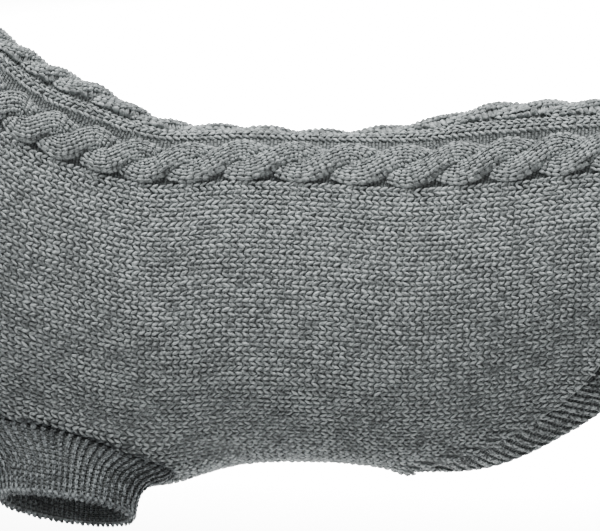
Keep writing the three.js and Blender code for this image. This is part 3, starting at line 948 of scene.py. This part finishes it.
def fresh_finish(name, roughness, specular):
    """A new finish, with its shader and the coordinates that its patterns read."""
    material = bpy.data.materials.new(name)
    material.use_nodes = True
    tree = material.node_tree
    tree.nodes.clear()
    output = node(tree, "ShaderNodeOutputMaterial", (900, 0))
    shader = node(tree, "ShaderNodeBsdfPrincipled", (600, 0))
    shader.inputs["Roughness"].default_value = roughness
    shader.inputs["Specular IOR Level"].default_value = specular
    tree.links.new(shader.outputs[0], output.inputs[0])
    where = node(tree, "ShaderNodeTexCoord", (-1300, 0))
    return material, shader, where.outputs["Object"], where.outputs["UV"]


def add_relief(tree, shader, height, strength, distance):
    bump = node(tree, "ShaderNodeBump", (300, -250))
    bump.inputs["Strength"].default_value = strength
    bump.inputs["Distance"].default_value = distance
    tree.links.new(height, bump.inputs["Height"])
    tree.links.new(bump.outputs[0], shader.inputs["Normal"])


def wool_finish(name, colour, dark, light, sheen):
    """Marl wool: light and dark fibres along the yarn, in a tone that drifts from stitch to stitch."""
    material, shader, in_space, on_yarn = fresh_finish(name, 0.92, 0.25)
    tree = material.node_tree
    shader.inputs["Sheen Weight"].default_value = sheen
    shader.inputs["Sheen Roughness"].default_value = 0.45
    shader.inputs["Sheen Tint"].default_value = (0.9, 0.93, 0.95, 1)
    drift = noise(tree, (-900, 600), in_space, 95)
    patches = noise(tree, (-900, 300), in_space, 560)
    fibres = noise(tree, (-900, 0), in_space, 1500)
    streaks = noise(tree, (-900, -300), scaled(tree, (-1100, -300), on_yarn, (2.6, 1.5, 1)), 1, 2)
    centre = node(tree, "ShaderNodeValue", (-1100, 500))
    centre.outputs[0].default_value = -DRIFT_SHARE / 2
    tone = multiply_add(tree, (-700, -100), streaks, STREAK_SHARE, centre.outputs[0])
    tone = multiply_add(tree, (-600, 100), drift, DRIFT_SHARE, tone)
    tone = multiply_add(tree, (-500, 200), patches, PATCH_SHARE, tone)
    ramp = node(tree, "ShaderNodeValToRGB", (-400, 100))
    low, high = ramp.color_ramp.elements
    low.position = 0.42
    high.position = 0.58
    low.color, high.color = shades(colour, dark, light)
    middle = ramp.color_ramp.elements.new(0.5)
    middle.color = (*colour, 1)
    tree.links.new(tone, ramp.inputs[0])
    tree.links.new(ramp.outputs[0], shader.inputs["Base Color"])
    add_relief(tree, shader, multiply_add(tree, (50, -250), streaks, 1, fibres), 0.55, 0.0004)
    return material


def ground_finish(name, colour, across, along):
    """The cloth behind the stitches. Inside it shows purl bumps, as the wrong side of a knit does, and
    the gaps between the bumps are painted shade.
    """
    material, shader, in_space, on_cloth = fresh_finish(name, 0.95, 0.2)
    tree = material.node_tree
    bricks = node(tree, "ShaderNodeTexBrick", (-850, 200))
    bricks.offset = 0.5
    bricks.inputs["Scale"].default_value = 1
    bricks.inputs["Mortar Size"].default_value = 0.16
    bricks.inputs["Mortar Smooth"].default_value = 1
    bricks.inputs["Brick Width"].default_value = 1
    bricks.inputs["Row Height"].default_value = 0.5
    # Bumps at the colour and a quarter lighter; the mortar between them, at 0.4 of the colour, is
    # painted shade
    for part, shade in zip(("Color1", "Color2", "Mortar"), shades(colour, 1, 1.25, 0.4)):
        bricks.inputs[part].default_value = shade
    tree.links.new(scaled(tree, (-1100, 200), on_cloth, (across, along, 1)), bricks.inputs["Vector"])
    fibres = noise(tree, (-850, -200), in_space, 1300)
    speckle = node(tree, "ShaderNodeMix", (-300, 100), data_type="RGBA", blend_type="OVERLAY")
    speckle.inputs["Factor"].default_value = 0.8
    tree.links.new(bricks.outputs["Color"], speckle.inputs["A"])
    tree.links.new(fibres, speckle.inputs["B"])
    tree.links.new(speckle.outputs["Result"], shader.inputs["Base Color"])
    height = multiply_add(tree, (-300, -250), bricks.outputs["Fac"], -1, fibres)
    add_relief(tree, shader, height, 0.8, 0.0008)
    return material


def wool(name):
    """One of the wools, made when it is first asked for."""
    made = bpy.data.materials.get(name)
    if made is None:
        colour, dark, light, sheen = WOOLS[name]
        made = wool_finish(name, getattr(settings(), colour), dark, light, sheen)
    return made


def settings():
    return bpy.context.scene.sweater


def finish_piece(piece, slot, *nodes):
    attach(piece, BODY)
    if nodes:
        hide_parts(*nodes)
    return piece


def seeded(number):
    return np.random.default_rng(settings().seed + number)


# Sizes and colours that a user may change

class SweaterSettings(bpy.types.PropertyGroup):
    """Colours and counts of the sweater's wool"""
    wool_colour: bpy.props.FloatVectorProperty(
        name="Wool", description="Colour of the stitches on the body", subtype="COLOR",
        default=(0.255, 0.275, 0.275), min=0, max=1,
    )
    # Rib wool, far darker than the body's wool: painted shade on the sleeves, the collar and the
    # grooves' purl bumps
    rib_colour_painted_shade: bpy.props.FloatVectorProperty(
        name="Rib wool", description="Colour of the stitches on the sleeves and the collar",
        subtype="COLOR", default=(0.104, 0.114, 0.117), min=0, max=1,
    )
    hem_colour: bpy.props.FloatVectorProperty(
        name="Hem wool", description="Colour of the stitches on the hem", subtype="COLOR",
        default=(0.21, 0.226, 0.226), min=0, max=1,
    )
    # Cloth behind the stitches: darker than the wool, painted shade in the gaps between and behind the
    # stitches
    ground_colour_painted_shade: bpy.props.FloatVectorProperty(
        name="Cloth behind", description="Colour of the cloth between and behind the stitches",
        subtype="COLOR", default=(0.18, 0.194, 0.194), min=0, max=1,
    )
    fibre_count: bpy.props.IntProperty(
        name="Loose fibres", description="How many loose fibres stand off the whole sweater",
        default=5000, min=0, max=12000,
    )
    seed: bpy.props.IntProperty(
        name="Seed", description="Starting number of the small differences between stitches",
        default=7,
    )
    floor_height: bpy.props.FloatProperty(
        name="Floor height", description="Height of the floor, where the wearer's paws would stand",
        default=-0.30, unit="LENGTH",
    )


# Pieces

class SWEATER_OT_back_panel(bpy.types.Operator):
    """Back panel: cloth shell, stocking stitch on both sides, and the spine band with its two cables"""
    bl_idname = "sweater.back_panel"
    bl_label = "Back panel"

    def execute(self, context):
        shell = back_shell()
        grain = knit_grain(4, 4)
        small = knit_grain(4, 3)
        random = seeded(1)
        pieces = []
        t0, t1, s = wale_stitches(back_place, (-WALE / 2, WALE / 2), keep_on_back)
        t, across, lift = knit_legs(random, grain, t0, t1, s, WALE)
        band = back_place(t, across, lift + band_lift(np.clip(across, -BAND_HALF, BAND_HALF)))
        pieces.append(joined_copies("spine_band_stitches", grain, band, wool("stitch_wool")))
        # The grooves' purl bumps are in the dark rib wool: painted shade in the grooves beside the
        # cables
        bumps = groove_bumps(random, small)
        pieces.append(joined_copies("groove_bumps", small, bumps, wool("rib_wool")))
        for sign, side in ((1, "left"), (-1, "right")):
            ropes = np.concatenate([rope_legs(random, grain, strand, sign) for strand in (0, 1)])
            pieces.append(joined_copies(f"cable_stitches_{side}", grain, ropes, wool("stitch_wool")))
            yarn = grain if side == "left" else small
            wales = sign * (PATTERN_HALF + WALE * (np.arange(SIDE_WALES) + 0.5))
            t0, t1, s = wale_stitches(back_place, wales, keep_on_back)
            rear = (t0 + t1) / 2 < REAR_END
            for name, part in (("rear", rear), ("fore", ~rear)):
                t, across, lift = knit_legs(random, yarn, t0[part], t1[part], s[part], WALE)
                start = np.tile(back_start(s[part]), 2)[:, None]
                places = back_place(t, across, lift + edge_puff(t, across + spine_shift(t), start))
                name = f"side_stitches_{side}_{name}"
                pieces.append(joined_copies(name, yarn, places, wool("stitch_wool")))
        for piece in pieces:
            finish_piece(piece, "wool_knit")
        finish_piece(shell, "wool_knit", "back_panel")
        return {"FINISHED"}


def back_columns():
    """Columns of the back shell: -1 or 1 on the sides and 0 in the pattern, how far a side column lies
    from the pattern to the seam, and the distance from the spine that a column starts from."""
    side = np.linspace(0, 1, SIDE_COLUMNS + 1)[1:]
    pattern = np.linspace(-PATTERN_HALF, PATTERN_HALF, PATTERN_COLUMNS)
    edge = np.full(SIDE_COLUMNS, PATTERN_HALF)
    sign = np.repeat([-1, 0, 1], [SIDE_COLUMNS, PATTERN_COLUMNS, SIDE_COLUMNS])
    share = np.concatenate([side[::-1], pattern * 0, side])
    return sign, share, np.concatenate([-edge, pattern, edge])


def back_shell():
    sign, share, from_spine = back_columns()
    columns = len(sign) - 1
    rows = 140

    def arc_of(column, along):
        edge = from_spine[column] + spine_shift(along)
        seam = sign[column] * (seam_arc(along) - SEAM_GAP / 2)
        return np.where(sign[column] == 0, edge, mix(edge, seam, share[column]))

    numbers = np.arange(columns + 1)
    starts = hem_start(lambda along: arc_of(numbers, along))

    def flat_place(u, v):
        column = np.rint(u * columns).astype(int)
        along = mix(starts[column], BODY_LENGTH, v)
        return column, along, arc_of(column, along)

    def inside(u, v):
        _, along, arc = flat_place(u, v)
        return armhole_reach(along, arc) < 1

    def place(u, v):
        column, along, arc = flat_place(u, v)
        pattern = pattern_lift(along, arc - spine_shift(along))
        pattern = (pattern - ROPE_SINK * (pattern > 0.8)) * pattern_fade(along, starts[column])
        lift = np.where(sign[column] == 0, pattern, 0) - GROUND_SINK
        along, arc = clear_of_armhole(along, arc)
        return lifted_point(along, arc, lift + edge_puff(along, arc, starts[column]))

    # The ground's darker colour is painted shade in the gaps between the stitches
    ground = ground_finish("back_ground_wool", settings().ground_colour_painted_shade, 83, 130)
    wall = WALL - GROUND_SINK
    return cloth_shell("back_panel_cloth", columns, rows, place, wall, ground, inside=inside)


def groove_bumps(random, grain):
    """Purl bumps in the grooves beside the cables, where the strands leave the ground bare."""
    centres = np.array([TROUGH_IN, TROUGH_IN + 2.6, TROUGH_OUT - 2.6, TROUGH_OUT])
    every = []
    for centre in (*-centres, *centres):
        t0, t1, s = wale_stitches(back_place, [centre], keep_on_back)
        middle = (t0 + t1) / 2
        bare = rope_lift(middle, s - np.sign(s) * CABLE_CENTRE) < 0.2
        middle, s = middle[bare], s[bare]
        depth = pattern_lift(middle, s) - random.uniform(0.5, 1.4, len(s))
        every.append(purl_bumps(random, grain, back_place, middle, s, 1.2, depth))
    return np.concatenate(every)


class SWEATER_OT_belly_panel(bpy.types.Operator):
    """Belly panel: cloth shell and its stocking stitch"""
    bl_idname = "sweater.belly_panel"
    bl_label = "Belly panel"

    def execute(self, context):
        shell = belly_shell()
        grain = knit_grain(4, 3)
        wales = np.arange(-11, 12) * WALE
        t0, t1, s = wale_stitches(belly_place, wales, keep_on_belly)
        t, across, lift = knit_legs(seeded(2), grain, t0, t1, s, WALE)
        start = np.tile(belly_start(s), 2)[:, None]
        places = belly_place(t, across, lift + edge_puff(t, half_girth(t) - np.abs(across), start))
        stitches = joined_copies("belly_stitches", grain, places, wool("stitch_wool"))
        finish_piece(stitches, "wool_knit")
        finish_piece(shell, "wool_knit", "belly_panel")
        return {"FINISHED"}


def belly_shell():
    columns = 16
    rows = 110

    def arc_of(share, along):
        half = half_girth(along) - seam_arc(along) - SEAM_GAP / 2
        return half_girth(along) - (1 - 2 * share) * half

    def flat_place(u, v):
        start = hem_start(lambda along: arc_of(u, along))
        along = mix(start, BODY_LENGTH, v)
        arc = arc_of(u, along)
        girth = half_girth(along)
        return start, along, np.where(arc > girth, arc - 2 * girth, arc)

    def inside(u, v):
        _, along, arc = flat_place(u, v)
        return armhole_reach(along, arc) < 1

    def place(u, v):
        start, along, arc = flat_place(u, v)
        along, arc = clear_of_armhole(along, arc)
        return lifted_point(along, arc, edge_puff(along, arc, start) - GROUND_SINK)

    # The ground's darker colour is painted shade in the gaps between the stitches
    ground = ground_finish("belly_ground_wool", settings().ground_colour_painted_shade, 18, 96)
    wall = WALL - GROUND_SINK
    return cloth_shell("belly_panel_cloth", columns, rows, place, wall, ground, inside=inside)


def rib_shell(name, place, ribs, rows, length, first=0.0, shade=RIB_GROOVE_PAINTED_SHADE):
    """Ribbed tube: four columns for each rib, from the seam to the free edge."""
    def sheet_place(u, v):
        groove = RIB_DEPTH * (0.5 - 0.5 * np.cos(2 * math.pi * u * ribs))
        return place(mix(first, length, v), u * ribs, -groove - GROUND_SINK * 0.9)

    # The ground between the ribs is darkened by the given shade: painted shade in the grooves
    colour = [channel * shade for channel in settings().ground_colour_painted_shade]
    ground = ground_finish(f"{name}_ground_wool", colour, ribs, length / COURSE)
    wall = WALL - RIB_DEPTH
    return cloth_shell(f"{name}_cloth", ribs * 4, rows, sheet_place, wall, ground, is_tube=True)


class SWEATER_OT_sleeves(bpy.types.Operator):
    """Both sleeves in one by one rib, each with its cast-off edge"""
    bl_idname = "sweater.sleeves"
    bl_label = "Sleeves"

    def execute(self, context):
        grain = knit_grain(4, 4)
        for sign, side in ((1, "left"), (-1, "right")):
            random = seeded(3 + sign)
            place = sleeve_place(sign)
            shell = rib_shell(f"sleeve_{side}", place, SLEEVE_RIBS, 12, SLEEVE_LENGTH, -SLEEVE_ROOT)
            size = (SLEEVE_RIBS, SLEEVE_PITCH, SLEEVE_LENGTH)
            places = np.concatenate([
                rib_stitches(random, grain, place, *size),
                rib_stitches(random, grain, wrong_side(place), *size, first=CUFF_INSIDE),
                cast_off(random, grain, place, *size),
                cast_off(random, grain, armhole_place(sign), ARMHOLE_STITCHES, ARMHOLE_PITCH, 1.0),
            ])
            # Sleeve stitches in the dark rib wool: painted shade under the body's overhanging edge
            stitches = joined_copies(f"sleeve_{side}_stitches", grain, places, wool("rib_wool"))
            finish_piece(stitches, "wool_rib")
            finish_piece(shell, "wool_rib", f"sleeve_{side}")
        return {"FINISHED"}


class SWEATER_OT_collar(bpy.types.Operator):
    """Collar in one by one rib, with its cast-off edge"""
    bl_idname = "sweater.collar"
    bl_label = "Collar"

    def execute(self, context):
        grain = knit_grain(4, 3)
        random = seeded(5)
        shell = rib_shell("collar", collar_place, COLLAR_RIBS, 12, COLLAR_LENGTH)
        places = ribs_and_edge(random, grain, collar_place, COLLAR_RIBS, COLLAR_PITCH, COLLAR_LENGTH)
        # The collar shares the dark rib wool, whose darkness is painted shade
        stitches = joined_copies("collar_stitches", grain, places, wool("rib_wool"))
        finish_piece(stitches, "wool_rib")
        finish_piece(shell, "wool_rib", "collar")
        return {"FINISHED"}


class SWEATER_OT_hem(bpy.types.Operator):
    """Hem band in one by one rib, with its cast-off edge"""
    bl_idname = "sweater.hem"
    bl_label = "Hem rib"

    def execute(self, context):
        grain = knit_grain(4, 4)
        random = seeded(6)
        shell = rib_shell("hem_rib", hem_place, HEM_RIBS, 6, HEM_WIDTH, shade=HEM_GROOVE_PAINTED_SHADE)
        places = ribs_and_edge(random, grain, hem_place, HEM_RIBS, HEM_PITCH, HEM_WIDTH)
        stitches = joined_copies("hem_rib_stitches", grain, places, wool("hem_wool"))
        finish_piece(stitches, "wool_rib")
        finish_piece(shell, "wool_rib", "hem_rib")
        return {"FINISHED"}


class SWEATER_OT_fibres(bpy.types.Operator):
    """Loose fibres that stand off the wool all over"""
    bl_idname = "sweater.fibres"
    bl_label = "Loose fibres"

    def execute(self, context):
        grain = knit_grain(3, 3)
        random = seeded(8)
        count = settings().fibre_count
        if count == 0:
            return {"FINISHED"}
        along = random.uniform(30, BODY_LENGTH - 2, count)
        across = random.uniform(-1, 1, count) * 190
        kept = keep_on_back(along - 2, along + 2, across)
        along, across = along[kept], across[kept]
        lift = np.where(np.abs(across) < PATTERN_HALF, pattern_lift(along, across), 0)

        def on_back(t, s, height):
            return back_place(t, s, height + lift)

        places = [loose_fibres(random, grain, on_back, along, across)]
        for place, length, ribs, number in (
            (sleeve_place(1), SLEEVE_LENGTH, SLEEVE_RIBS, count // 30),
            (sleeve_place(-1), SLEEVE_LENGTH, SLEEVE_RIBS, count // 30),
            (collar_place, COLLAR_LENGTH, COLLAR_RIBS, count // 20),
            (hem_place, HEM_WIDTH, HEM_RIBS, count // 20),
        ):
            t = random.uniform(0, length, number)
            s = random.uniform(0, ribs, number)
            places.append(loose_fibres(random, grain, place, t, s))
        fibres = joined_copies("loose_fibres", grain, np.concatenate(places), wool("stitch_wool"))
        finish_piece(fibres, "wool_knit")
        return {"FINISHED"}


# Camera, in metres, degrees and millimetres of lens
CAMERA_TARGET = (0.070, 0.0, -0.065)
CAMERA_AZIMUTH = 8
CAMERA_ELEVATION = 15
CAMERA_DISTANCE = 2.5
CAMERA_LENS = 300

# Lamps: name, place, target and size in metres, watts, and spread in degrees
LAMPS = [
    ("key_light", (-0.4, -0.25, 2.4), CAMERA_TARGET, 2.2, 183, 180),
    ("fill_light", (1.8, -1.6, 0.9), CAMERA_TARGET, 1.8, 4, 180),
    ("bounce_light", (0.12, 0.12, -0.29), (0.12, 0.05, 0), 0.3, 1.7, 180),
    ("backdrop_light", (0.07, 1.1, 1.0), (0.07, 1.1, 0), 0.6, 420, 80),
]
WORLD_STRENGTH = 0.4
FLOOR_SIZE = 12
FLOOR_GREY = (0.5, 0.5, 0.5)


class SWEATER_OT_stage(bpy.types.Operator):
    """Pale floor, soft studio light and the camera"""
    bl_idname = "sweater.stage"
    bl_label = "Stage"

    def execute(self, context):
        clear_selection()
        height = settings().floor_height
        bpy.ops.mesh.primitive_plane_add(size=FLOOR_SIZE, location=(0, 0, height))
        floor = bpy.context.object
        floor.name = "floor"
        floor.data.materials.append(plain_finish("floor_paint", FLOOR_GREY))
        white_world()
        for lamp in LAMPS:
            soft_light(*lamp)
        place_camera()
        return {"FINISHED"}


def plain_finish(name, colour):
    material = bpy.data.materials.new(name)
    material.use_nodes = True
    shader = material.node_tree.nodes["Principled BSDF"]
    shader.inputs["Base Color"].default_value = (*colour, 1)
    shader.inputs["Roughness"].default_value = 0.9
    return material


def white_world():
    world = bpy.context.scene.world or bpy.data.worlds.new("studio")
    bpy.context.scene.world = world
    world.use_nodes = True
    background = world.node_tree.nodes["Background"]
    background.inputs["Color"].default_value = (1, 1, 1, 1)
    background.inputs["Strength"].default_value = WORLD_STRENGTH


def soft_light(name, place, target, size, power, spread):
    clear_selection()
    bpy.ops.object.light_add(type="AREA", location=place)
    lamp = bpy.context.object
    lamp.name = name
    lamp.data.shape = "DISK"
    lamp.data.size = size
    lamp.data.energy = power
    lamp.data.spread = math.radians(spread)
    aim = Vector(target) - Vector(place)
    lamp.rotation_euler = aim.to_track_quat("-Z", "Y").to_euler()


def place_camera():
    azimuth = math.radians(CAMERA_AZIMUTH)
    elevation = math.radians(CAMERA_ELEVATION)
    back = Vector((
        math.sin(azimuth) * math.cos(elevation),
        -math.cos(azimuth) * math.cos(elevation),
        math.sin(elevation),
    ))
    clear_selection()
    bpy.ops.object.camera_add(location=Vector(CAMERA_TARGET) + back * CAMERA_DISTANCE)
    camera = bpy.context.object
    camera.name = "camera"
    camera.rotation_euler = (-back).to_track_quat("-Z", "Y").to_euler()
    camera.data.lens = CAMERA_LENS
    camera.data.sensor_width = 36
    camera.data.sensor_fit = "HORIZONTAL"
    camera.data.clip_end = 50
    bpy.context.scene.camera = camera


OPERATORS = [
    SWEATER_OT_back_panel,
    SWEATER_OT_belly_panel,
    SWEATER_OT_sleeves,
    SWEATER_OT_collar,
    SWEATER_OT_hem,
    SWEATER_OT_fibres,
    SWEATER_OT_stage,
]


class SWEATER_PT_panel(bpy.types.Panel):
    """Lists the sweater's colours and pieces in the sidebar"""
    bl_idname = "SWEATER_PT_panel"
    bl_label = "Knitted dog sweater"
    bl_space_type = "VIEW_3D"
    bl_region_type = "UI"
    bl_category = "Sweater"

    def draw(self, context):
        layout = self.layout
        chosen = context.scene.sweater
        for name in SweaterSettings.__annotations__:
            layout.prop(chosen, name)
        for operator in OPERATORS:
            layout.operator(operator.bl_idname)


CLASSES = [SweaterSettings, *OPERATORS, SWEATER_PT_panel]


def register():
    for cls in CLASSES:
        bpy.utils.register_class(cls)
    bpy.types.Scene.sweater = bpy.props.PointerProperty(type=SweaterSettings)


def unregister():
    del bpy.types.Scene.sweater
    for cls in reversed(CLASSES):
        bpy.utils.unregister_class(cls)


def main():
    register()
    bpy.ops.sweater.stage()
    bpy.ops.sweater.back_panel()
    bpy.ops.sweater.belly_panel()
    bpy.ops.sweater.sleeves()
    bpy.ops.sweater.collar()
    bpy.ops.sweater.hem()
    bpy.ops.sweater.fibres()


if __name__ == "__main__":
    main()
